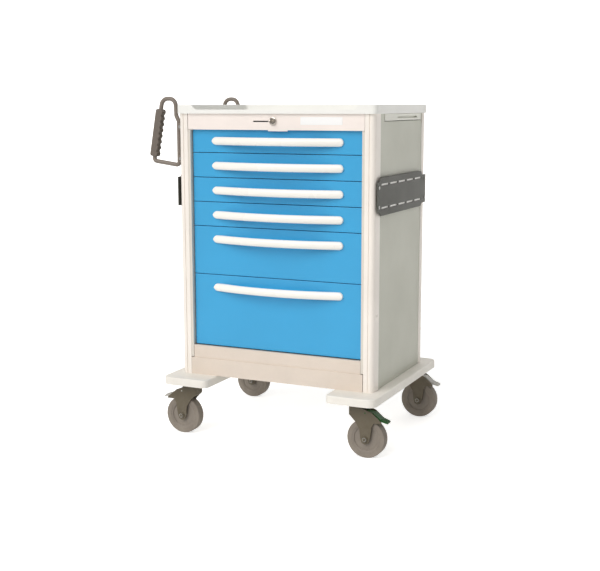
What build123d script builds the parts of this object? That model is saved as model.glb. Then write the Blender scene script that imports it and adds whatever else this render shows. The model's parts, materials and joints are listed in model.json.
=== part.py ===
from build123d import *
import os

# Six-drawer treatment cart on four casters: driving dimensions in millimetres.
# Drawn with x = 0 on the cabinet centre, y = 0 on the front plane, z = 0 on the floor,
# then moved so that the origin is the bottom centre of the whole assembly.
SHIFT_X = 33.0
SHIFT_Y = -232.0

POST_IN = 310.0        # inner face of the corner posts, |x|
POST_OUT = 343.0       # outer face of the corner posts, |x|
POST_FRONT_D = 49.0    # depth of a front post
REAR_Y = 478.0         # rear plane of the cabinet
REAR_POST_Y = 445.0    # front face of a rear post
SIDE_X = 340.0         # outer face of the side panels
WALL_X = 301.0         # inner face of the slide walls
BASE_TOP = 203.0       # top of the base plate
BASE_BOTTOM = 177.0
BODY_TOP = 1069.0      # underside of the worktop
HEADER_Z = 1018.0      # bottom edge of the header panel
SHEET = 1.5            # sheet metal thickness

FRONT_Y = 14.0         # front plane of the drawers
FRONT_W = 596.0        # width of a drawer front
FRONT_D = 18.0         # fold depth of a drawer front
GAP = 2.0              # gap between drawer fronts
TRAY_X = 280.0         # outer half width of a tray
TRAY_BACK = 462.0
DRAWERS = [(943.5, 80.0), (863.5, 80.0), (783.5, 80.0), (703.5, 80.0), (543.5, 160.0), (303.5, 240.0)]
PULL_DROP = 42.0       # centre of a pull below the top of its drawer
PULL_HALF = 230.0
PULL_X = 6.0           # the pulls sit a little to the right of centre
PULL_H = 26.0
PULL_BOW = 40.0        # how far a pull stands out

WHEEL_R = 62.5
WHEEL_W = 31.6
WHEEL_X = 331.0
WHEEL_Y_FRONT = -12.0
WHEEL_Y_REAR = 500.0
SWIVEL_IN = 22.0       # swivel axis inboard of the axle
AXLE_R = 5.0
RUN_CLEAR = 0.05       # radial running clearance

SLOT_PITCH = 78.5
SLOT_Y0 = 226.0        # middle slot of each accessory row
SLOT_LEN = 66.0
SLOT_R = 3.0
SLOT_ROWS = (782.0, 854.0)


def block(x0, x1, y0, y1, z0, z1):
    # A box given by its limits.
    return Pos((x0 + x1) / 2, (y0 + y1) / 2, (z0 + z1) / 2) * Box(abs(x1 - x0), abs(y1 - y0), abs(z1 - z0))


def prism_z(points, z0, z1):
    # A polygon in X and Y, extruded from z0 to z1.
    face = make_face(Polyline(*points, close=True))
    return Pos(0, 0, z0) * extrude(face, z1 - z0)


def prism_y(points, y0, y1):
    # A polygon in X and Z, extruded from y0 to y1.
    face = Plane.XZ * make_face(Polyline(*points, close=True))
    return Pos(0, y1, 0) * extrude(face, y1 - y0)


def rod_y(x, z, radius, y0, y1):
    return Pos(x, (y0 + y1) / 2, z) * Rot(90, 0, 0) * Cylinder(radius, abs(y1 - y0))


def rod_x(y, z, radius, x0, x1):
    return Pos((x0 + x1) / 2, y, z) * Rot(0, 90, 0) * Cylinder(radius, abs(x1 - x0))


def rod_z(x, y, radius, z0, z1):
    return Pos(x, y, (z0 + z1) / 2) * Cylinder(radius, abs(z1 - z0))


def flip(shape):
    # The same part on the other side of the cabinet.
    return mirror(shape, about=Plane.YZ)


def save(name, shapes):
    parts = shapes if isinstance(shapes, list) else [shapes]
    solids = []
    for part in parts:
        solids.extend(Pos(SHIFT_X, SHIFT_Y, 0) * solid for solid in part.solids())
    whole = Compound(solids) if len(solids) > 1 else solids[0]
    export_step(whole, f"parts/{name}.step")


# ---------------------------------------------------------------- base and carcass
def base_plate():
    outer = RectangleRounded(756, 622, 28)
    notch = Pos(0, -266.5) * Rectangle(422, 291) + Pos(0, 266.5) * Rectangle(422, 291)
    outline = outer - notch
    inner = [v for v in outline.vertices() if abs(abs(v.X) - 211) < 0.1]
    outline = fillet(inner, 20)
    plate = Pos(0, 232, BASE_BOTTOM) * extrude(outline, BASE_TOP - BASE_BOTTOM)
    return fillet(plate.faces().sort_by(Axis.Z)[-1].edges(), 5)


def corner_post(side, y0, y1, outer_y):
    centre = Pos(side * (POST_IN + POST_OUT) / 2, (y0 + y1) / 2)
    outline = centre * Rectangle(POST_OUT - POST_IN, y1 - y0)
    corner = [v for v in outline.vertices() if v.X * side > 335 and abs(v.Y - outer_y) < 1]
    outline = fillet(corner, 14)
    hollow = centre * Rectangle(POST_OUT - POST_IN - 8, y1 - y0 - 10)
    inner = [v for v in hollow.vertices() if v.X * side > 330 and abs(v.Y - outer_y) < 8]
    outline -= fillet(inner, 10)
    groove_y = outer_y + 1.2 if outer_y < 100 else outer_y - 1.2
    outline -= Pos(side * 325, groove_y) * Rectangle(3, 2.4)
    return Pos(0, 0, BASE_TOP) * extrude(outline, BODY_TOP - BASE_TOP)


def side_panel(with_opening):
    panel = block(SIDE_X - SHEET, SIDE_X, POST_FRONT_D, REAR_POST_Y, BASE_TOP, BODY_TOP)
    panel += block(SIDE_X - 14, SIDE_X, POST_FRONT_D, POST_FRONT_D + SHEET, BASE_TOP, 1040)
    panel += block(SIDE_X - 14, SIDE_X, REAR_POST_Y - SHEET, REAR_POST_Y, BASE_TOP, 1040)
    if with_opening:
        panel -= block(SIDE_X - 20, SIDE_X + 5, 88, 435, 1045, BODY_TOP + 1)
    return panel


def inner_wall():
    wall = block(WALL_X, WALL_X + SHEET, 3, 462, 205, 1044)
    return wall + block(WALL_X, POST_IN, 1.5, 3, 262, HEADER_Z - 1)


def header_panel():
    panel = block(-308.5, 308.5, 1.5, 3, HEADER_Z, BODY_TOP)
    panel += block(-300, 300, 1.5, 12, HEADER_Z, HEADER_Z + SHEET)
    panel += block(-300, 300, 1.5, 12, 1065.5, 1067)
    panel += block(-18, 50, 1.5, 3, HEADER_Z - 3.5, HEADER_Z)
    panel -= rod_y(0, 1046, 8, -5, 20)
    panel -= block(-70, -16, 0, 6, 1043, 1047)
    return panel


def kick_cover():
    cover = block(-308.5, 308.5, -1, 0.5, BASE_TOP, 260)
    cover += block(-300, 300, -1, 4, 258.5, 260)
    cover += block(-300, 300, 2.5, 4, 258.5, 302)
    cover += block(-300, 300, 2.5, 14, 300.5, 302)
    cover += block(-300, 300, -1, 4, BASE_TOP, BASE_TOP + SHEET)
    return cover


def worktop():
    top = Pos(0, 237, BODY_TOP) * extrude(RectangleRounded(700, 486, 18), 28)
    pocket = Pos(0, 237, 1075) * extrude(RectangleRounded(684, 470, 12), 30)
    top -= pocket
    top -= prism_y([(-277, 1081.7), (277, 1081.7), (296, 1099), (-296, 1099)], -10, 12)
    top = fillet(top.edges().group_by(Axis.Z)[-1], 1.6)
    return top


def accessory_plate():
    outline = [(31, 758), (415, 758), (425, 768), (462, 768), (462, 863), (425, 863), (425, 866), (415, 876),
               (31, 876), (21, 866), (21, 863), (3, 863), (3, 768), (21, 768)]
    face = Plane.YZ * make_face(Polyline(*outline, close=True))
    plate = Pos(350, 0, 0) * extrude(face, 2)
    plate += block(SIDE_X, 351, 49, 415, 758, 760)
    plate += block(SIDE_X, 351, 49, 415, 874, 876)
    for y0, y1 in ((24, 44), (447, 460)):
        plate += block(POST_OUT, 351, y0, y1, 772, 800)
        plate += block(POST_OUT, 351, y0, y1, 832, 860)
    slot = Pos(351, 0, 0) * Rot(0, 90, 0) * Rot(0, 0, 90) * extrude(SlotOverall(SLOT_LEN, 2 * SLOT_R), 8, both=True)
    for z in SLOT_ROWS:
        for i in range(-2, 3):
            plate -= Pos(0, SLOT_Y0 + i * SLOT_PITCH, z) * slot
    return plate


# ---------------------------------------------------------------- push handles
GRIP_TOP = (-424.0, 1084.0)
GRIP_END = (-452.0, 927.0)
LOOP_TOP = 1117.0     # axis of the rod at the top of a handle
HANDLE_Y = (25.0, 461.0)


def rod_along(points, radii):
    # A round rod along straight runs joined by tangent arcs, drawn in X and Y.
    wire = FilletPolyline(*[(x, z, 0) for x, z in points], radius=radii)
    start = Plane(wire @ 0, z_dir=wire % 0)
    return sweep(start * Circle(7), path=wire)


def handle_frame(y):
    middle = ((GRIP_TOP[0] + GRIP_END[0]) / 2, (GRIP_TOP[1] + GRIP_END[1]) / 2)
    slope = (GRIP_TOP[0] - GRIP_END[0]) / (GRIP_TOP[1] - GRIP_END[1])
    shoulder = (GRIP_TOP[0] + slope * (LOOP_TOP - GRIP_TOP[1]), LOOP_TOP)
    foot = (GRIP_END[0] - slope * 14, GRIP_END[1] - 14)
    upper = [(-357, 960), (-357, 1044), (-366, 1062), (-368, LOOP_TOP), shoulder, middle]
    lower = [middle, foot, (-357, 900), (-357, 960)]
    # The loop is bent in two halves, which meet inside the grip and on the straight leg.
    halves = []
    for run, radii, z in ((upper, [10, 10, 24, 24], 1026), (lower, [10, 10], 922)):
        rod = Pos(0, y, 0) * Rot(90, 0, 0) * rod_along(run, radii)
        halves.append(rod + block(-356, -POST_OUT, y - 10, y + 10, z - 12, z + 12))
    return halves


def handle_grip(y):
    angle = 10.11
    body = RectangleRounded(27, 157, 7)
    for i in range(7):
        body -= Pos(17.5, (i - 3) * 19.5) * Circle(7.6)
    grip = extrude(body, 12, both=True)
    grip = fillet(grip.edges().group_by(Axis.Z)[0] + grip.edges().group_by(Axis.Z)[-1], 2.5)
    grip -= Rot(90, 0, 0) * Cylinder(7, 200)
    mid_x = (GRIP_TOP[0] + GRIP_END[0]) / 2
    mid_z = (GRIP_TOP[1] + GRIP_END[1]) / 2
    return Pos(mid_x, y, mid_z) * Rot(90, 0, 0) * Rot(0, 0, -angle) * grip


# ---------------------------------------------------------------- drawers
def drawer_front(z, h):
    front = block(-FRONT_W / 2, FRONT_W / 2, FRONT_Y, FRONT_Y + FRONT_D, z + GAP / 2, z + h - GAP / 2)
    front = fillet(front.faces().sort_by(Axis.Y)[0].edges(), 1.2)
    half = FRONT_W / 2 - SHEET
    front -= block(-half, half, FRONT_Y + SHEET, FRONT_Y + 40, z + GAP / 2 + SHEET, z + h - GAP / 2 - SHEET)
    return front


def drawer_tray(z, h):
    low = z + 10
    high = z + h - 12
    back = FRONT_Y + FRONT_D
    tray = block(-TRAY_X, TRAY_X, back, TRAY_BACK, low, high)
    tray -= block(-TRAY_X + SHEET, TRAY_X - SHEET, back + SHEET, TRAY_BACK - SHEET, low + SHEET, high + 5)
    tray += block(-290, 290, back, back + SHEET, low, high)
    mid = z + h / 2
    for side in (-1, 1):
        for edge in (-1, 1):
            tray += block(side * (TRAY_X - 1), side * 297.5, 40, 458, mid + edge * 15.5, mid + edge * 17)
    return tray


def slide_channels():
    rails = []
    for z, h in DRAWERS:
        mid = z + h / 2
        for side in (-1, 1):
            rail = block(side * 299.5, side * WALL_X, 36, 460, mid - 20, mid + 20)
            rail += block(side * 286, side * WALL_X, 36, 460, mid - 20, mid - 18.5)
            rail += block(side * 286, side * WALL_X, 36, 460, mid + 18.5, mid + 20)
            rails.append(rail)
    return rails


def drawer_pull(z, h):
    mid = z + h - PULL_DROP
    out_y = FRONT_Y - PULL_BOW
    edge = PULL_HALF + 5
    tip_y = FRONT_Y - 6
    outer = ThreePointArc((-edge, tip_y, 0), (0, out_y, 0), (edge, tip_y, 0))
    inner_x = PULL_HALF - 32
    inner = ThreePointArc((inner_x, FRONT_Y, 0), (0, out_y + 7, 0), (-inner_x, FRONT_Y, 0))
    right = Polyline((edge, tip_y, 0), (edge, FRONT_Y, 0), (inner_x, FRONT_Y, 0))
    left = Polyline((-inner_x, FRONT_Y, 0), (-edge, FRONT_Y, 0), (-edge, tip_y, 0))
    plan = make_face([*outer.edges(), *right.edges(), *inner.edges(), *left.edges()])
    bow = Pos(0, 0, mid) * extrude(plan, PULL_H / 2, both=True)
    front_shape = Plane.XZ * SlotOverall(2 * PULL_HALF, PULL_H)
    cutter = Pos(0, 20, mid) * extrude(front_shape, 60)
    return Pos(PULL_X, 0, 0) * (bow & cutter)


# ---------------------------------------------------------------- side shelf and lock
def side_shelf():
    shelf = block(-60, 338, 96, 427, 1050, 1062)
    shelf += block(337, 341, 90, 433, 1047, 1068)
    shelf -= block(333, 348, 205, 395, 1054, 1060)
    return shelf


def shelf_guide(y_wall, y_lip):
    guide = block(-80, 333, y_wall, y_wall + (2 if y_lip > y_wall else -2), 1046, 1067)
    guide += block(-80, 333, y_wall, y_lip, 1046, 1049)
    guide += block(-80, 333, y_wall, y_lip, 1063, 1065)
    return guide


def lock_housing():
    housing = rod_y(0, 1046, 12, -3, 1.5) + rod_y(0, 1046, 8, 1.5, 26)
    return housing - rod_y(0, 1046, AXLE_R + RUN_CLEAR, -10, 40)


def lock_key():
    key = rod_y(0, 1046, AXLE_R, -4, 31)
    key -= block(-0.8, 0.8, -5, 1, 1042.5, 1049.5)
    key += block(-5, 5, 27, 29, 1026, 1046)
    return key


# ---------------------------------------------------------------- casters
def caster_fork():
    # Drawn with the axle at the origin in x and y; +x points away from the cabinet.
    profile = [(-54, 163), (-54, 138), (-34, 118), (-19, 95), (-15, 64), (-11, 50), (0, 45), (11, 50), (16, 64),
               (22, 104), (30, 117), (54, 117), (54, 122), (20, 150), (-18, 163)]
    fork = prism_y(profile, 18.5, 22.5) + prism_y(profile, -22.5, -18.5)
    fork += prism_y([(-54, 163), (-54, 138), (-48, 131), (16, 131), (16, 137), (-10, 137), (-10, 163)], -19, 19)
    fork -= rod_y(0, 147, 2.5 + RUN_CLEAR, -30, 30)
    fork += rod_y(0, WHEEL_R, AXLE_R, -30.8, 30.8)
    fork += rod_y(0, WHEEL_R, 9, 22.5, 27) + rod_y(0, WHEEL_R, 9, -27, -22.5)
    fork -= rod_z(-SWIVEL_IN, 0, 6 + RUN_CLEAR, 141, 170)
    return fork


def caster_pedal():
    profile = [(-5, 150), (24, 147.5), (48, 130), (72, 122), (72, 117), (47, 123), (20, 142), (-5, 144.5)]
    pedal = prism_y(profile, -14, 14)
    for i in range(4):
        x = 51 + 5.4 * i
        z = 129.2 - 1.8 * i
        pedal += block(x - 1.2, x + 1.2, -12.5, 12.5, z - 5, z + 1)
    return pedal + rod_y(0, 147, 2.5, -22, 22)


def caster_hub():
    hub = rod_y(0, WHEEL_R, 45.5, -14, 14)
    for side in (-1, 1):
        hub -= rod_y(0, WHEEL_R, 40, side * 11 if side > 0 else -20, 20 if side > 0 else -11)
        hub += rod_y(0, WHEEL_R, 14, 10 if side > 0 else -17.5, 17.5 if side > 0 else -10)
    return hub - rod_y(0, WHEEL_R, AXLE_R + RUN_CLEAR, -30, 30)


def caster_tyre():
    tyre = rod_y(0, WHEEL_R, WHEEL_R, -WHEEL_W / 2, WHEEL_W / 2)
    tyre = fillet(tyre.edges().filter_by(GeomType.CIRCLE), 2.5)
    return tyre - rod_y(0, WHEEL_R, 45.5, -30, 30)


def caster_mount():
    mount = rod_z(-SWIVEL_IN, 0, 30, 171, BASE_BOTTOM) + rod_z(-SWIVEL_IN, 0, 22, 163.4, 171)
    return mount + rod_z(-SWIVEL_IN, 0, 6, 142, 165)


CASTERS = [("front_right", 1, WHEEL_Y_FRONT), ("front_left", -1, WHEEL_Y_FRONT),
           ("rear_right", 1, WHEEL_Y_REAR), ("rear_left", -1, WHEEL_Y_REAR)]


def screw_x(x, y, z, side):
    return rod_x(y, z, 5, x, x + side * 2.5) - rod_x(y, z, 2, x + side * 1.2, x + side * 4)


def fasteners():
    screws = []
    for side in (-1, 1):
        for y in (14, 452):
            for z in (786, 846):
                screws.append(screw_x(side * 352, y, z, side))
    for y in HANDLE_Y:
        for z in (922, 1026):
            screws.append(rod_y(-348, z, 3.5, y - 12, y - 10))
    return screws


os.makedirs("parts", exist_ok=True)

posts = []
for side in (-1, 1):
    posts.append(corner_post(side, 0, POST_FRONT_D, 0))
    posts.append(corner_post(side, REAR_POST_Y, REAR_Y, REAR_Y))
save("base_plate", base_plate())
save("bottom_pan", block(-POST_IN, POST_IN, 4, 474, BASE_TOP, BASE_TOP + 2))
save("kick_cover", kick_cover())
save("corner_posts", posts)
save("side_panel_left", flip(side_panel(False)))
save("side_panel_right", side_panel(True))
save("inner_wall_left", flip(inner_wall()))
save("inner_wall_right", inner_wall())
save("back_panel", block(-POST_IN, POST_IN, 474, 476, BASE_TOP, 1067))
save("header_panel", header_panel())
save("label_plate", block(95, 236, 0.7, 1.5, 1035, 1059))
save("top_pan", block(-336, 336, 3, 474, 1067, BODY_TOP) - block(-400, -309, 0, 50, 1060, 1080)
     - block(309, 400, 0, 50, 1060, 1080) - block(309, 400, 444, 480, 1060, 1080)
     - block(-400, -309, 444, 480, 1060, 1080))
save("worktop", worktop())
save("slide_channels", slide_channels())
save("shelf_guides", [shelf_guide(84, 100), shelf_guide(439, 423)])
save("accessory_plate_left", flip(accessory_plate()))
save("accessory_plate_right", accessory_plate())
save("handle_frame_front", handle_frame(HANDLE_Y[0]))
save("handle_frame_rear", handle_frame(HANDLE_Y[1]))
save("handle_grip_front", handle_grip(HANDLE_Y[0]))
save("handle_grip_rear", handle_grip(HANDLE_Y[1]))
save("fasteners", fasteners())
save("lock_housing", lock_housing())
save("lock_key", lock_key())
save("side_shelf", side_shelf())

for number, (z, h) in enumerate(DRAWERS, start=1):
    save(f"drawer_{number}_front", drawer_front(z, h))
    save(f"drawer_{number}_tray", drawer_tray(z, h))
    save(f"drawer_{number}_pull", drawer_pull(z, h))

mounts = []
for name, side, y in CASTERS:
    place = Pos(side * WHEEL_X, y, 0) * Rot(0, 0, 0 if side > 0 else 180)
    mounts.append(place * caster_mount())
    save(f"caster_{name}_fork", place * caster_fork())
    save(f"caster_{name}_hub", place * caster_hub())
    save(f"caster_{name}_tyre", place * caster_tyre())
    save(f"caster_{name}_pedal", place * caster_pedal())
save("caster_mounts", mounts)
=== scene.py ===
import json
import math
import bmesh
import bpy
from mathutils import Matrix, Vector


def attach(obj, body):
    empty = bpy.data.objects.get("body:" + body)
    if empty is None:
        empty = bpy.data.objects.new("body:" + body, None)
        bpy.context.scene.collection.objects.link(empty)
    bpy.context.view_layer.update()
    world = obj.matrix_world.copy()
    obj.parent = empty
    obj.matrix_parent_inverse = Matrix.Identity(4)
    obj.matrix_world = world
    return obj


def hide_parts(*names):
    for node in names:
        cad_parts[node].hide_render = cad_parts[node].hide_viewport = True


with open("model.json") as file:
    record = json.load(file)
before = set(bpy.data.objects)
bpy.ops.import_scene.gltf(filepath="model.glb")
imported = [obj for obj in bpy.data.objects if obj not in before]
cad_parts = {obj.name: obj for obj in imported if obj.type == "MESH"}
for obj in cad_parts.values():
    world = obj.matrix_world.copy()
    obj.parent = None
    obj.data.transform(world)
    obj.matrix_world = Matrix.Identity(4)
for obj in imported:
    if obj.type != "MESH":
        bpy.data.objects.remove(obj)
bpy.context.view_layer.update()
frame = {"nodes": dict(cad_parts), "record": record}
print("stage: frame loaded")

# Drawing frame of the cart in millimetres: x = 0 cabinet centre, y = 0 front plane, z = 0 floor
cabinet = {"shiftX": 33.0, "shiftY": -232.0, "drawerFront": 14.0}


def at(x, y, z):
    return Vector(((x + cabinet["shiftX"]) / 1000, (y + cabinet["shiftY"]) / 1000, z / 1000))


# ---- camera, light and floor
shot = {"place": (1534.3, -3128.6, 1097.1), "turn": 24.721, "tilt": 9.356, "roll": 0.096, "lens": 65.883,
        "sensor": 36, "farClip": 60}


def addCamera():
    data = bpy.data.cameras.new("cartCamera")
    data.lens = shot["lens"]
    data.sensor_width = shot["sensor"]
    data.clip_end = shot["farClip"]
    camera = bpy.data.objects.new("cartCamera", data)
    camera.location = at(*shot["place"])
    angles = (90 - shot["tilt"], shot["roll"], shot["turn"])
    camera.rotation_euler = [math.radians(angle) for angle in angles]
    bpy.context.scene.collection.objects.link(camera)
    bpy.context.scene.camera = camera


studio = {"sky": 0.33, "skySeen": 1.0, "sun": 2.12, "sunAngle": 50, "sunAim": (0.20, 0.74, -0.64),
          "skyColor": (1.0, 0.995, 0.985), "sunColor": (1.0, 0.975, 0.945),
          "floorColor": (0.84, 0.84, 0.835), "floorGlow": 0.13, "floorGlowSeen": 0.60}
# The floor bends up into a backdrop; metres
backdrop = {"near": -8.0, "bendFrom": 4.5, "bend": 2.2, "steps": 12, "top": 9.0, "halfWide": 10, "drop": 0.0002}


def seenOrCast(tree, seen, cast):
    # One strength where the surface is seen directly, another for the light it casts
    path = tree.nodes.new("ShaderNodeLightPath")
    blend = tree.nodes.new("ShaderNodeMath")
    blend.operation = "MULTIPLY_ADD"
    blend.inputs[1].default_value = seen - cast
    blend.inputs[2].default_value = cast
    tree.links.new(path.outputs["Is Camera Ray"], blend.inputs[0])
    return blend.outputs[0]


def addLight():
    world = bpy.data.worlds.new("studio")
    bpy.context.scene.world = world
    world.use_nodes = True
    tree = world.node_tree
    tree.nodes.clear()
    back = tree.nodes.new("ShaderNodeBackground")
    back.inputs["Color"].default_value = (*studio["skyColor"], 1)
    tree.links.new(seenOrCast(tree, studio["skySeen"], studio["sky"]), back.inputs["Strength"])
    out = tree.nodes.new("ShaderNodeOutputWorld")
    tree.links.new(back.outputs[0], out.inputs["Surface"])
    data = bpy.data.lights.new("softSun", "SUN")
    data.energy = studio["sun"]
    data.angle = math.radians(studio["sunAngle"])
    data.color = studio["sunColor"]
    sun = bpy.data.objects.new("softSun", data)
    sun.rotation_euler = Vector(studio["sunAim"]).to_track_quat("-Z", "Y").to_euler()
    bpy.context.scene.collection.objects.link(sun)


def addFloor():
    mesh = bpy.data.meshes.new("studioFloor")
    bm = bmesh.new()
    bend, steps, wide = backdrop["bend"], backdrop["steps"], backdrop["halfWide"]
    profile = [(backdrop["near"], 0.0), (backdrop["bendFrom"], 0.0)]
    for i in range(1, steps + 1):
        a = math.radians(90 * i / steps)
        profile.append((backdrop["bendFrom"] + bend * math.sin(a), bend * (1 - math.cos(a))))
    profile.append((backdrop["bendFrom"] + bend, backdrop["top"]))
    rows = [[bm.verts.new((x, y, z - backdrop["drop"])) for x in (-wide, wide)] for y, z in profile]
    for a, b in zip(rows, rows[1:]):
        bm.faces.new((a[0], a[1], b[1], b[0])).smooth = True
    bm.to_mesh(mesh)
    bm.free()
    floor = bpy.data.objects.new("studioFloor", mesh)
    bpy.context.scene.collection.objects.link(floor)
    material = bpy.data.materials.new("studioFloor")
    material.use_nodes = True
    tree = material.node_tree
    shader = tree.nodes["Principled BSDF"]
    shader.inputs["Base Color"].default_value = (*studio["floorColor"], 1)
    shader.inputs["Roughness"].default_value = 0.9
    shader.inputs["Emission Color"].default_value = (1, 1, 1, 1)
    glow = seenOrCast(tree, studio["floorGlowSeen"], studio["floorGlow"])
    tree.links.new(glow, shader.inputs["Emission Strength"])
    mesh.materials.append(material)


addCamera()
addLight()
addFloor()
bpy.context.scene.view_settings.view_transform = "Standard"
print("stage: camera, light and floor")


# ---- shader groups shared by the finishes
def newGroup(name, inputs, outputs):
    group = bpy.data.node_groups.new(name, "ShaderNodeTree")
    for label, kind, value in inputs:
        socket = group.interface.new_socket(name=label, in_out="INPUT", socket_type=kind)
        socket.default_value = value
    for label, kind in outputs:
        group.interface.new_socket(name=label, in_out="OUTPUT", socket_type=kind)
    return group, group.nodes.new("NodeGroupInput"), group.nodes.new("NodeGroupOutput")


def feed(tree, node, sockets):
    # Each socket gets a link or a plain value
    for socket, value in sockets:
        if hasattr(value, "is_output"):
            tree.links.new(value, node.inputs[socket])
        else:
            node.inputs[socket].default_value = value


def addNoise(tree, vector, scale, detail, rough=0.55):
    noise = tree.nodes.new("ShaderNodeTexNoise")
    feed(tree, noise, (("Detail", detail), ("Roughness", rough), ("Scale", scale), ("Vector", vector)))
    return noise.outputs["Fac"]


def addRange(tree, value, low, high, toLow=0.0, toHigh=1.0):
    node = tree.nodes.new("ShaderNodeMapRange")
    feed(tree, node, (("From Min", low), ("From Max", high), ("To Min", toLow), ("To Max", toHigh), ("Value", value)))
    return node.outputs["Result"]


def addMath(tree, kind, a, b):
    node = tree.nodes.new("ShaderNodeMath")
    node.operation = kind
    feed(tree, node, ((0, a), (1, b)))
    return node.outputs[0]


def addMix(tree, fac, a, b):
    node = tree.nodes.new("ShaderNodeMix")
    node.data_type = "RGBA"
    # Sockets 6 and 7 are the colours, output 2 the mixed colour
    feed(tree, node, ((0, fac), (6, a), (7, b)))
    return node.outputs[2]


def coatGroup():
    # Even coat with faint clouding and a fine orange-peel grain
    group, src, out = newGroup("coatSurface", [
        ("Vector", "NodeSocketVector", (0, 0, 0)), ("Color", "NodeSocketColor", (0.8, 0.8, 0.8, 1)),
        ("Cloud", "NodeSocketFloat", 0.06), ("Grain Scale", "NodeSocketFloat", 900.0),
        ("Rough Low", "NodeSocketFloat", 0.35), ("Rough High", "NodeSocketFloat", 0.5)],
        [("Color", "NodeSocketColor"), ("Roughness", "NodeSocketFloat"), ("Height", "NodeSocketFloat")])
    cloud = addNoise(group, src.outputs["Vector"], 5.5, 4)
    grain = addNoise(group, src.outputs["Vector"], src.outputs["Grain Scale"], 2)
    shade = addRange(group, cloud, 0.3, 0.7, 0.0, src.outputs["Cloud"])
    color = addMix(group, shade, src.outputs["Color"], (0, 0, 0, 1))
    group.links.new(color, out.inputs["Color"])
    rough = addRange(group, cloud, 0.25, 0.75, src.outputs["Rough Low"], src.outputs["Rough High"])
    group.links.new(rough, out.inputs["Roughness"])
    group.links.new(grain, out.inputs["Height"])
    return group


def scuffGroup():
    # Hair scratches and rubbed patches, as one mask
    group, src, out = newGroup("scuffMask", [
        ("Vector", "NodeSocketVector", (0, 0, 0)), ("Amount", "NodeSocketFloat", 0.3)],
        [("Mask", "NodeSocketFloat")])
    stretch = group.nodes.new("ShaderNodeMapping")
    stretch.inputs["Scale"].default_value = (4, 60, 110)
    stretch.inputs["Rotation"].default_value = (0.35, 0.5, 0.2)
    group.links.new(src.outputs["Vector"], stretch.inputs["Vector"])
    hairs = addRange(group, addNoise(group, stretch.outputs["Vector"], 3.0, 5), 0.66, 0.72)
    patches = addRange(group, addNoise(group, src.outputs["Vector"], 9.0, 3), 0.52, 0.7)
    mask = addMath(group, "MULTIPLY", hairs, patches)
    group.links.new(addMath(group, "MULTIPLY", mask, src.outputs["Amount"]), out.inputs["Mask"])
    return group


def darkerTowardsFloorGroup():
    # Grey patches that make surfaces darker towards the floor
    group, src, out = newGroup("darkerTowardsFloor", [
        ("Vector", "NodeSocketVector", (0, 0, 0)), ("Top", "NodeSocketFloat", 0.3),
        ("Amount", "NodeSocketFloat", 0.3)], [("Mask", "NodeSocketFloat")])
    split = group.nodes.new("ShaderNodeSeparateXYZ")
    group.links.new(src.outputs["Vector"], split.inputs[0])
    height = addMath(group, "DIVIDE", split.outputs["Z"], src.outputs["Top"])
    low = addRange(group, height, 0.0, 1.0, 1.0, 0.0)
    spots = addRange(group, addNoise(group, src.outputs["Vector"], 28.0, 6, 0.65), 0.35, 0.7)
    mask = addMath(group, "MULTIPLY", low, spots)
    group.links.new(addMath(group, "MULTIPLY", mask, src.outputs["Amount"]), out.inputs["Mask"])
    return group


coatSurface = coatGroup()
scuffMask = scuffGroup()
darkerTowardsFloor = darkerTowardsFloorGroup()


def tone(r, g, b):
    # From screen values to linear light
    def one(value):
        value /= 255
        return value / 12.92 if value <= 0.04045 else ((value + 0.055) / 1.055) ** 2.4
    return (one(r), one(g), one(b), 1)


towardsFloorColor = tone(168, 160, 148)


def addFinish(name, color, rough, cloud=0.06, grain=900.0, bump=0.04, scuff=0.25, scuffColor=None, floorDarkening=0.0,
              floorDarkeningTop=0.3, metal=0.0, coat=0.0):
    material = bpy.data.materials.new(name)
    material.use_nodes = True
    tree = material.node_tree
    shader = tree.nodes["Principled BSDF"]
    place = tree.nodes.new("ShaderNodeTexCoord").outputs["Object"]

    def addGroup(group, sockets):
        node = tree.nodes.new("ShaderNodeGroup")
        node.node_tree = group
        feed(tree, node, (("Vector", place), *sockets))
        return node

    surface = addGroup(coatSurface, (("Color", color), ("Cloud", cloud), ("Grain Scale", grain),
                                     ("Rough Low", rough[0]), ("Rough High", rough[1])))
    scratches = addGroup(scuffMask, (("Amount", scuff),))
    worn = scuffColor or tuple(min(1, c * 1.25 + 0.05) for c in color[:3]) + (1,)
    result = addMix(tree, scratches.outputs["Mask"], surface.outputs["Color"], worn)
    # Greyer and darker towards the floor, in patches
    if floorDarkening > 0:
        towardsFloorNode = addGroup(darkerTowardsFloor, (("Top", floorDarkeningTop), ("Amount", floorDarkening)))
        result = addMix(tree, towardsFloorNode.outputs["Mask"], result, towardsFloorColor)
    tree.links.new(result, shader.inputs["Base Color"])
    dulled = addMath(tree, "MULTIPLY", scratches.outputs["Mask"], 0.3)
    tree.links.new(addMath(tree, "ADD", surface.outputs["Roughness"], dulled), shader.inputs["Roughness"])
    bumpNode = tree.nodes.new("ShaderNodeBump")
    feed(tree, bumpNode, (("Strength", bump), ("Distance", 0.001), ("Height", surface.outputs["Height"])))
    feed(tree, shader, (("Normal", bumpNode.outputs["Normal"]), ("Metallic", metal), ("Coat Weight", coat),
                        ("Coat Roughness", 0.2)))
    return material


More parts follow.
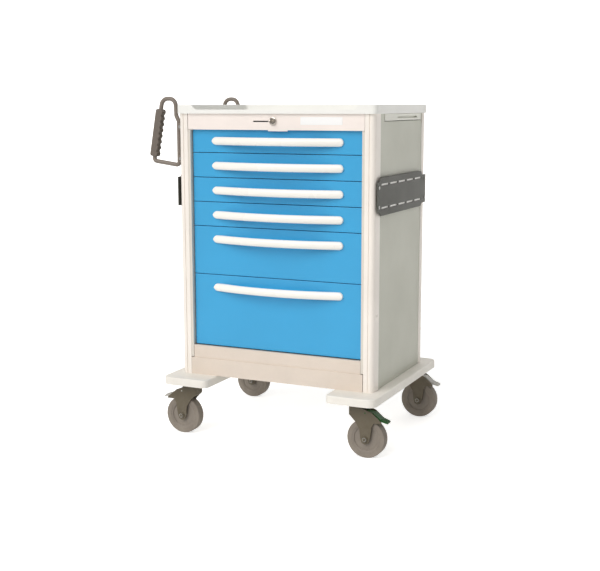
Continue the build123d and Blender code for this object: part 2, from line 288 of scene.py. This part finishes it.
finishes = {
    "base_grey": addFinish("baseMoulding", tone(244, 240, 232), (0.38, 0.52), grain=520, bump=0.10,
                           floorDarkening=0.35, floorDarkeningTop=0.26),
    "sheet_grey": addFinish("innerSheet", tone(222, 216, 206), (0.4, 0.55), bump=0.05),
    "body_cream": addFinish("creamCoat", tone(250, 240, 234), (0.32, 0.46), bump=0.05, floorDarkening=0.12, floorDarkeningTop=0.5),
    "kick_beige": addFinish("kickCoat", tone(227, 214, 201), (0.34, 0.48), bump=0.05, floorDarkening=0.2, floorDarkeningTop=0.4),
    "post_aluminium": addFinish("postCoat", tone(250, 243, 235), (0.26, 0.38), bump=0.03, scuff=0.3,
                                floorDarkening=0.15, floorDarkeningTop=0.4),
    # Painted shade: the side panel gets a darker grey for the side turned away from the light
    "side_grey": addFinish("sideCoatPaintedShade", tone(201, 202, 189), (0.34, 0.48), bump=0.05, floorDarkening=0.10, floorDarkeningTop=0.5),
    "label_white": addFinish("labelInsert", tone(252, 252, 252), (0.2, 0.3), cloud=0.03, bump=0.02),
    "worktop_white": addFinish("worktopMoulding", tone(247, 247, 243), (0.30, 0.45), grain=700, bump=0.06,
                               scuff=0.4,
                               scuffColor=tone(205, 203, 198), coat=0.15),
    "slide_steel": addFinish("zincSteel", tone(190, 190, 188), (0.25, 0.45), cloud=0.15, metal=0.9),
    "accessory_grey": addFinish("accessoryCoat", tone(76, 77, 70), (0.4, 0.55), bump=0.08, scuff=0.45),
    "handle_tube": addFinish("handleTube", tone(131, 121, 112), (0.32, 0.5), bump=0.08, scuff=0.5,
                             scuffColor=tone(190, 184, 176)),
    "grip_dark": addFinish("gripRubber", tone(112, 103, 95), (0.55, 0.75), grain=1500, bump=0.22, scuff=0.2),
    "screw_steel": addFinish("screwSteel", tone(200, 200, 198), (0.2, 0.35), metal=1.0, bump=0.02),
    "lock_chrome": addFinish("lockNickel", tone(205, 198, 190), (0.14, 0.28), metal=1.0, bump=0.02, scuff=0.4),
    "shelf_grey": addFinish("shelfMoulding", tone(238, 238, 229), (0.35, 0.5), bump=0.06),
    "drawer_blue": addFinish("blueCoat", tone(60, 168, 222), (0.30, 0.42), cloud=0.05, bump=0.06, scuff=0.22,
                             scuffColor=tone(150, 205, 236), coat=0.1),
    "tray_grey": addFinish("trayCoat", tone(225, 221, 213), (0.36, 0.5), bump=0.05),
    "pull_white": addFinish("pullMoulding", tone(253, 250, 244), (0.22, 0.34), cloud=0.04, grain=600,
                            bump=0.03, coat=0.25),
    "fork_grey": addFinish("forkMoulding", tone(95, 86, 68), (0.38, 0.55), grain=700, bump=0.10, floorDarkening=0.3,
                           floorDarkeningTop=0.16),
    "hub_grey": addFinish("hubMoulding", tone(133, 124, 114), (0.4, 0.55), grain=700, bump=0.08, floorDarkening=0.3,
                          floorDarkeningTop=0.13),
    "tyre_grey": addFinish("tyreRubber", tone(130, 121, 111), (0.6, 0.8), grain=1200, bump=0.20, floorDarkening=0.45,
                           floorDarkeningTop=0.13),
    "pedal_green": addFinish("pedalGreen", tone(10, 80, 18), (0.4, 0.55), bump=0.08, scuff=0.5),
    "pedal_grey": addFinish("pedalSilver", tone(188, 186, 180), (0.3, 0.45), bump=0.08, scuff=0.4),
}
linerFinish = addFinish("linerFoam", tone(92, 96, 100), (0.7, 0.85), grain=1500, bump=0.3)
# White finish of the seam strips; it also colours the slot fills, where it is painted light
edgeAndSlotLightFinish = addFinish("edgeStrip", tone(253, 251, 246), (0.2, 0.3), bump=0.02)

for row in frame["record"]["subparts"]:
    item = frame["nodes"][row["node"]]
    item.data.materials.clear()
    item.data.materials.append(finishes[row["material_slot"]])
print("stage: finishes on the CAD parts")


# ---- small makers
def newPiece(name, bm, material, body, smooth=True):
    bmesh.ops.recalc_face_normals(bm, faces=bm.faces)
    mesh = bpy.data.meshes.new(name)
    bm.to_mesh(mesh)
    bm.free()
    if smooth:
        mesh.shade_smooth()
        mesh.set_sharp_from_angle(angle=math.radians(38))
    item = bpy.data.objects.new(name, mesh)
    bpy.context.scene.collection.objects.link(item)
    mesh.materials.append(material)
    if body:
        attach(item, body)
    return item


def lathe(bm, profile, centre, axis, steps=40):
    # A closed turned shape: profile is (radius, distance along axis) in millimetres
    turn = Vector(axis).to_track_quat("Z", "Y")
    rings = []
    for radius, along in profile:
        if radius == 0:
            rings.append([bm.verts.new(centre + turn @ Vector((0, 0, along / 1000)))])
            continue
        ring = []
        for i in range(steps):
            a = 2 * math.pi * i / steps
            spot = Vector((radius * math.cos(a), radius * math.sin(a), along))
            ring.append(bm.verts.new(centre + turn @ spot * 0.001))
        rings.append(ring)
    for a, b in zip(rings, rings[1:]):
        for i in range(steps):
            j = (i + 1) % steps
            corners = [a[i % len(a)], a[j % len(a)], b[j % len(b)], b[i % len(b)]]
            unique = list(dict.fromkeys(corners))
            if len(unique) > 2:
                bm.faces.new(unique)


# ---- drawer pulls: bowed bars with a crowned front
drawers = [(943.5, 80), (863.5, 80), (783.5, 80), (703.5, 80), (543.5, 160), (303.5, 240)]
pull = {"half": 229.8, "offset": 6, "high": 12.9, "drop": 42, "out": 39.8, "crown": 8.5, "thick": 10, "rings": 74,
        "front": 11, "bow": 1660, "backBow": 1221, "backMid": -18, "backEnd": 13.9, "foot": 198}


def buildPull(number, z, h):
    bm = bmesh.new()
    mid = z + h - pull["drop"]
    rings = []
    for i in range(pull["rings"] + 1):
        t = -math.cos(math.pi * i / pull["rings"])
        x = pull["half"] * (0.35 * t + 0.65 * math.sin(t * math.pi / 2))  # closer rings towards the ends
        end = max(0.0, (abs(x) - (pull["half"] - pull["high"])) / pull["high"])
        half = max(0.6, pull["high"] * math.sqrt(max(0.0, 1 - end * end)))
        front = cabinet["drawerFront"] - pull["out"] + x * x / pull["bow"]
        back = max(front + pull["thick"], min(pull["backEnd"], pull["backMid"] + x * x / pull["backBow"]))
        if abs(x) > pull["foot"]:
            back = pull["backEnd"]
        crown = pull["crown"] * half / pull["high"]
        section = []
        for k in range(pull["front"] + 1):
            a = math.pi * (k / pull["front"] - 0.5)
            section.append((front + crown * (1 - math.cos(a)), half * math.sin(a)))
        section += [(back - 1, half), (back, half * 0.9), (back, -half * 0.9), (back - 1, -half)]
        rings.append([bm.verts.new(at(x + pull["offset"], y, mid + up)) for y, up in section])
    for a, b in zip(rings, rings[1:]):
        for k in range(len(a)):
            j = (k + 1) % len(a)
            bm.faces.new((a[k], a[j], b[j], b[k]))
    bm.faces.new(rings[0])
    bm.faces.new(rings[-1][::-1])
    body = f"drawer_{number}"
    item = newPiece(f"pullBar{number}", bm, finishes["pull_white"], body)
    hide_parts(f"drawer_{number}_pull")


for number, (z, h) in enumerate(drawers, 1):
    buildPull(number, z, h)
print("stage: pulls")


# ---- repeated small parts, placed by Geometry Nodes
def repeatTree(name, material, socketHead):
    # Points carry their direction in the attribute "aim"; each gets one turned head
    tree = bpy.data.node_groups.new(name, "GeometryNodeTree")
    tree.interface.new_socket(name="Geometry", in_out="INPUT", socket_type="NodeSocketGeometry")
    for label, value in (("Radius", 0.004), ("Height", 0.002)):
        socket = tree.interface.new_socket(name=label, in_out="INPUT", socket_type="NodeSocketFloat")
        socket.default_value = value
    tree.interface.new_socket(name="Geometry", in_out="OUTPUT", socket_type="NodeSocketGeometry")
    make = tree.nodes.new
    link = tree.links.new
    src = make("NodeGroupInput")
    out = make("NodeGroupOutput")
    head = make("GeometryNodeMeshCylinder")
    head.inputs["Vertices"].default_value = 24
    link(src.outputs["Radius"], head.inputs["Radius"])
    link(src.outputs["Height"], head.inputs["Depth"])
    shape = head.outputs["Mesh"]
    if socketHead:
        hole = make("GeometryNodeMeshCylinder")
        hole.inputs["Vertices"].default_value = 6
        small = make("ShaderNodeMath")
        small.operation = "MULTIPLY"
        small.inputs[1].default_value = 0.5
        link(src.outputs["Radius"], small.inputs[0])
        link(small.outputs[0], hole.inputs["Radius"])
        link(src.outputs["Height"], hole.inputs["Depth"])
        lift = make("GeometryNodeTransform")
        move = make("ShaderNodeCombineXYZ")
        half = make("ShaderNodeMath")
        half.operation = "MULTIPLY"
        half.inputs[1].default_value = 0.55
        link(src.outputs["Height"], half.inputs[0])
        link(half.outputs[0], move.inputs["Z"])
        link(hole.outputs["Mesh"], lift.inputs["Geometry"])
        link(move.outputs[0], lift.inputs["Translation"])
        cut = make("GeometryNodeMeshBoolean")
        cut.operation = "DIFFERENCE"
        link(shape, cut.inputs["Mesh 1"])
        link(lift.outputs["Geometry"], cut.inputs["Mesh 2"])
        shape = cut.outputs["Mesh"]
    aim = make("GeometryNodeInputNamedAttribute")
    aim.data_type = "FLOAT_VECTOR"
    aim.inputs["Name"].default_value = "aim"
    turn = make("FunctionNodeAlignRotationToVector")
    turn.axis = "Z"
    link(aim.outputs["Attribute"], turn.inputs["Vector"])
    onPoints = make("GeometryNodeInstanceOnPoints")
    link(src.outputs["Geometry"], onPoints.inputs["Points"])
    link(shape, onPoints.inputs["Instance"])
    link(turn.outputs["Rotation"], onPoints.inputs["Rotation"])
    real = make("GeometryNodeRealizeInstances")
    link(onPoints.outputs[0], real.inputs[0])
    paint = make("GeometryNodeSetMaterial")
    paint.inputs["Material"].default_value = material
    link(real.outputs[0], paint.inputs["Geometry"])
    link(paint.outputs[0], out.inputs[0])
    return tree


def placeRepeats(name, tree, points, radius, height, body):
    mesh = bpy.data.meshes.new(name + "Points")
    mesh.from_pydata([p for p, _ in points], [], [])
    attribute = mesh.attributes.new("aim", "FLOAT_VECTOR", "POINT")
    for i, (_, direction) in enumerate(points):
        attribute.data[i].vector = direction
    maker = bpy.data.objects.new(name + "Maker", mesh)
    bpy.context.scene.collection.objects.link(maker)
    modifier = maker.modifiers.new("repeat", "NODES")
    modifier.node_group = tree
    for socket in tree.interface.items_tree:
        if socket.item_type == "SOCKET" and socket.in_out == "INPUT" and socket.name in ("Radius", "Height"):
            modifier[socket.identifier] = (radius if socket.name == "Radius" else height) / 1000
    graph = bpy.context.evaluated_depsgraph_get()
    plain = bpy.data.meshes.new_from_object(maker.evaluated_get(graph), depsgraph=graph)
    maker.modifiers.remove(modifier)
    bpy.data.objects.remove(maker)
    plain.name = name
    plain.shade_smooth()
    plain.set_sharp_from_angle(angle=math.radians(35))
    item = bpy.data.objects.new(name, plain)
    bpy.context.scene.collection.objects.link(item)
    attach(item, body)
    return item


screwTree = repeatTree("screwHeads", finishes["screw_steel"], True)
ribTrees = {slot: repeatTree(slot + "Ribs", finishes[slot], False) for slot in ("pedal_grey", "pedal_green")}
linerTree = repeatTree("linerRibs", linerFinish, False)

plate = {"out": 353.2, "ys": (14, 452), "zs": (786, 846)}
bracket = {"x": -348, "ys": (14.1, 450.1), "zs": (922, 1026)}
back = {"y": 476.4, "sides": (-298, 298), "rows": (230, 436, 642, 848, 1050), "columns": (-150, 0, 150),
        "ends": (222, 1052)}
plateScrews = [(at(side * plate["out"], y, z), (side, 0, 0))
               for side in (-1, 1) for y in plate["ys"] for z in plate["zs"]]
plateScrews += [(at(bracket["x"], y, z), (0, -1, 0)) for y in bracket["ys"] for z in bracket["zs"]]
heads = placeRepeats("plateScrews", screwTree, plateScrews, 5, 2.4, "carcass")
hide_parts("fasteners")
backScrews = [(at(x, back["y"], z), (0, 1, 0)) for z in back["rows"] for x in back["sides"]]
backScrews += [(at(x, back["y"], z), (0, 1, 0)) for x in back["columns"] for z in back["ends"]]
placeRepeats("backScrews", screwTree, backScrews, 4, 1.8, "carcass")

# ---- casters: axle bolts, bearing rings and light ribs on the pedals
casters = [("front_right", 1, -12.0), ("front_left", -1, -12.0), ("rear_right", 1, 500.0), ("rear_left", -1, 500.0)]
caster = {"wheelX": 331, "axleZ": 62.5, "swivelX": 309, "boltOut": 27.8, "bearingZ": 164.5}
rib = {"count": 4, "from": 51, "pitch": 5.4, "top": 130.0, "fall": 1.8, "radius": 1.5, "long": 23}
bearingProfile = [(14, 0), (26, 0), (28, 1.2), (28, 3.4), (26, 4.6), (14, 4.6), (14, 0)]
beadProfile = [(38.5, 11.2), (39.8, 12.6), (42.5, 14.6), (45, 15.0), (47, 15.4), (48.2, 16.1), (48.2, 12),
               (38.5, 11.2)]
for name, side, y in casters:
    label = name.title().replace("_", "")
    x = side * caster["wheelX"]
    bolts = [(at(x, y + face * caster["boltOut"], caster["axleZ"]), (0, face, 0)) for face in (-1, 1)]
    placeRepeats("axleBolts" + label, screwTree, bolts, 6.2, 4.5, f"caster_{name}_swivel")
    ribs = [(at(x + side * (rib["from"] + rib["pitch"] * i), y, rib["top"] - rib["fall"] * i), (0, 1, 0))
            for i in range(rib["count"])]
    ribSlot = "pedal_green" if name == "front_right" else "pedal_grey"
    placeRepeats("pedalRibs" + label, ribTrees[ribSlot], ribs, rib["radius"], rib["long"], f"caster_{name}_brake")
    bm = bmesh.new()
    lathe(bm, bearingProfile, at(side * caster["swivelX"], y, caster["bearingZ"]), (0, 0, 1))
    newPiece("bearingRing" + label, bm, finishes["slide_steel"], "carcass")
    bm = bmesh.new()
    for face in (-1, 1):
        lathe(bm, beadProfile, at(x, y, caster["axleZ"]), (0, face, 0), 64)
    newPiece("rimBead" + label, bm, finishes["hub_grey"], f"caster_{name}_wheel")
print("stage: casters and screws")

# ---- seams, slot light fills (painted light), lock and drawer liners
def addBox(bm, corners):
    # Four corners of one face in order, then the four opposite them
    verts = [bm.verts.new(corner) for corner in corners]
    for face in ((3, 2, 1, 0), (4, 5, 6, 7), (0, 1, 5, 4), (1, 2, 6, 5), (2, 3, 7, 6), (3, 0, 4, 7)):
        bm.faces.new([verts[i] for i in face])


sideNames = {-1: "Left", 1: "Right"}
strip = {"x": 340.4, "ys": (48.6, 445.4), "low": 204, "profile": [(0, 0), (1.5, 0.4), (1.5, 833), (0, 833.4)]}
for side in (-1, 1):
    bm = bmesh.new()
    for y in strip["ys"]:
        lathe(bm, strip["profile"], at(side * strip["x"], y, strip["low"]), (0, 0, 1), 16)
    newPiece("edgeStrip" + sideNames[side], bm, edgeAndSlotLightFinish, "carcass")

# Painted light: bright strips just behind the accessory plate's slots, so the slots read as lit where the gap behind
# the plate lies in shade
slotLightFill = {"rows": (782, 854), "from": 30, "to": 422, "high": 5, "plateX": 352, "gap": 2.4, "thick": 1.2}
for side in (-1, 1):
    bm = bmesh.new()
    near = slotLightFill["plateX"] - slotLightFill["gap"]
    outline = ((slotLightFill["from"], -1), (slotLightFill["to"], -1), (slotLightFill["to"], 1), (slotLightFill["from"], 1))
    for z in slotLightFill["rows"]:
        addBox(bm, [at(side * x, y, z + up * slotLightFill["high"])
                    for x in (near - slotLightFill["thick"], near) for y, up in outline])
    bmesh.ops.bevel(bm, geom=list(bm.edges), offset=0.0003, segments=1, affect="EDGES")
    newPiece("slotLightFill" + sideNames[side], bm, edgeAndSlotLightFinish, "carcass")

lock = {"x": 0, "z": 1046, "bezelY": 1.4, "stemY": -3, "bowY": -16.5, "bowHigh": 8.5, "bowDeep": 7.2, "bowThick": 2.0,
        "steps": 28}
bezelProfile = [(5.6, 0), (11.2, 0), (12.6, 1.2), (12.8, 3), (12.2, 4.4), (9.8, 5), (9.2, 3.8), (5.6, 3.6), (5.6, 0)]
bm = bmesh.new()
lathe(bm, bezelProfile, at(lock["x"], lock["bezelY"], lock["z"]), (0, -1, 0), 56)
newPiece("lockBezel", bm, finishes["lock_chrome"], "carcass")
bm = bmesh.new()
bowSides = []
for face in (-0.5, 0.5):
    ring = []
    for i in range(lock["steps"]):
        a = 2 * math.pi * i / lock["steps"]
        y, up = lock["bowY"] - lock["bowDeep"] * math.sin(a), lock["bowHigh"] * math.cos(a)
        ring.append(bm.verts.new(at(lock["x"] + face * lock["bowThick"], y, lock["z"] + up)))
    bowSides.append(ring)
left, right = bowSides
bm.faces.new(left)
bm.faces.new(right[::-1])
for i in range(lock["steps"]):
    j = (i + 1) % lock["steps"]
    bm.faces.new((left[i], right[i], right[j], left[j]))
lathe(bm, [(0, 0), (2.2, 0), (2.2, 10), (0, 10)], at(lock["x"], lock["stemY"], lock["z"]), (0, -1, 0), 16)
newPiece("lockKeyBow", bm, finishes["lock_chrome"], "lock_barrel")

liner = {"halfWide": 270, "front": 46, "back": 452, "pitch": 14, "floor": 11.5, "levels": (0.1, 2.1), "ribZ": 2.0,
         "ribRadius": 0.9, "ribLong": 530}
linerCorners = ((-1, liner["front"]), (1, liner["front"]), (1, liner["back"]), (-1, liner["back"]))
linerRows = int((liner["back"] - liner["front"]) / liner["pitch"])
for number, (z, h) in enumerate(drawers, 1):
    low = z + liner["floor"]
    bm = bmesh.new()
    addBox(bm, [at(sx * liner["halfWide"], y, low + top) for top in liner["levels"] for sx, y in linerCorners])
    bmesh.ops.bevel(bm, geom=list(bm.edges), offset=0.0008, segments=2, affect="EDGES")
    newPiece(f"drawerLiner{number}", bm, linerFinish, f"drawer_{number}")
    ribs = [(at(0, liner["front"] + liner["pitch"] * (i + 0.5), low + liner["ribZ"]), (1, 0, 0))
            for i in range(linerRows)]
    placeRepeats(f"linerRibs{number}", linerTree, ribs, liner["ribRadius"], liner["ribLong"], f"drawer_{number}")
print("stage: seams, lock and liners")
